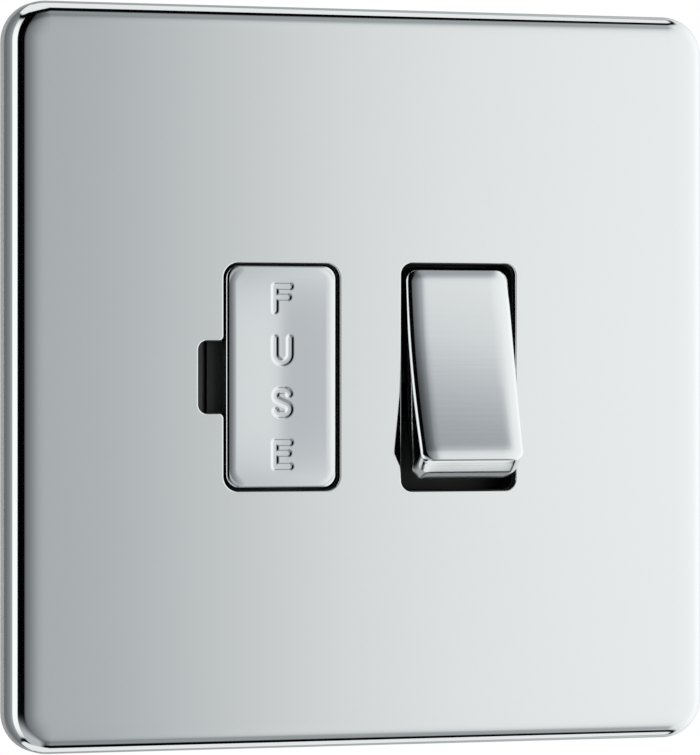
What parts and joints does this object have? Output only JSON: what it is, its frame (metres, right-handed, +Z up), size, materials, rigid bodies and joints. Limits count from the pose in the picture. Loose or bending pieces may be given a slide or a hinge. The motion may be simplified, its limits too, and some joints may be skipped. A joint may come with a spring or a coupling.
{
  "type": "fused spur unit",
  "caption": "Square wall-mounted fused connection unit with a polished screwless plate, a pull-out fuse carrier and a rocker switch, over a black moulded body with rear terminals.",
  "frame": {"origin": "midway between the two box fixing holes, on the wall plane at the back of the support frame", "axes": "+X to the right seen from the front, +Z up, -Y out of the wall through the front plate"},
  "size_m": [0.09, 0.0303, 0.09],
  "materials": {
    "polished_plate": "mirror-polished chromium plate on pressed sheet",
    "frame_moulding": "fine matt moulding",
    "black_moulding": "semi-gloss moulding",
    "cover_moulding": "fine matt moulding",
    "zinc_screws": "bright zinc plate",
    "terminal_screws": "passivated zinc plate",
    "terminal_brass": "plain machined brass",
    "leaf_bronze": "rolled bronze strip",
    "contact_silver": "dull silver alloy",
    "arm_copper": "rolled copper bar",
    "polished_rocker": "polished chromium plate with faint polishing lines",
    "dolly_moulding": "fine matt moulding",
    "plunger_nylon": "natural moulding",
    "spring_steel": "drawn wire",
    "polished_carrier": "polished chromium plate",
    "drawer_moulding": "fine matt moulding",
    "fuse_ceramic": "plain fired ceramic",
    "fuse_cap_metal": "bright nickel plate"
  },
  "bodies": {
    "base": {"front_plate": "polished_plate", "support_frame": "frame_moulding", "housing": "black_moulding", "rear_cover": "cover_moulding", "cover_screws": "zinc_screws", "terminal_screws": "terminal_screws", "line_supply_bar": "terminal_brass", "neutral_supply_bar": "terminal_brass", "neutral_load_bar": "terminal_brass", "fuse_link_bar": "terminal_brass", "line_load_bar": "terminal_brass", "earth_bar": "terminal_brass", "earth_spring": "leaf_bronze", "fixed_tips": "contact_silver"},
    "rocker": {"rocker_cap": "polished_rocker", "rocker_dolly": "dolly_moulding", "line_plunger": "plunger_nylon", "neutral_plunger": "plunger_nylon", "line_spring": "spring_steel", "neutral_spring": "spring_steel"},
    "line_contact": {"line_arm": "arm_copper", "line_arm_tip": "contact_silver"},
    "neutral_contact": {"neutral_arm": "arm_copper", "neutral_arm_tip": "contact_silver"},
    "fuse_carrier": {"drawer_cap": "polished_carrier", "fuse_drawer": "drawer_moulding", "fuse_barrel": "fuse_ceramic", "fuse_caps": "fuse_cap_metal"}
  },
  "joints": [
    {"name": "rocker_hinge", "type": "hinge", "parent": "base", "child": "rocker", "pos_m": [0.01193, -0.0014, 0], "axis": [1, 0, 0], "range_deg": [0, 28]},
    {"name": "line_contact_hinge", "type": "hinge", "parent": "base", "child": "line_contact", "pos_m": [0.00833, 0.00515, 0], "axis": [1, 0, 0], "range_deg": [-16, 0]},
    {"name": "neutral_contact_hinge", "type": "hinge", "parent": "base", "child": "neutral_contact", "pos_m": [0.01553, 0.00515, 0], "axis": [1, 0, 0], "range_deg": [-16, 0]},
    {"name": "fuse_carrier_slide", "type": "slide", "parent": "base", "child": "fuse_carrier", "axis": [0, -1, 0], "range_m": [0, 0.0115]}
  ],
  "couplings": [
    {"joint": "line_contact_hinge", "follows": "rocker_hinge", "ratio": -0.57143},
    {"joint": "neutral_contact_hinge", "follows": "rocker_hinge", "ratio": -0.57143}
  ]
}
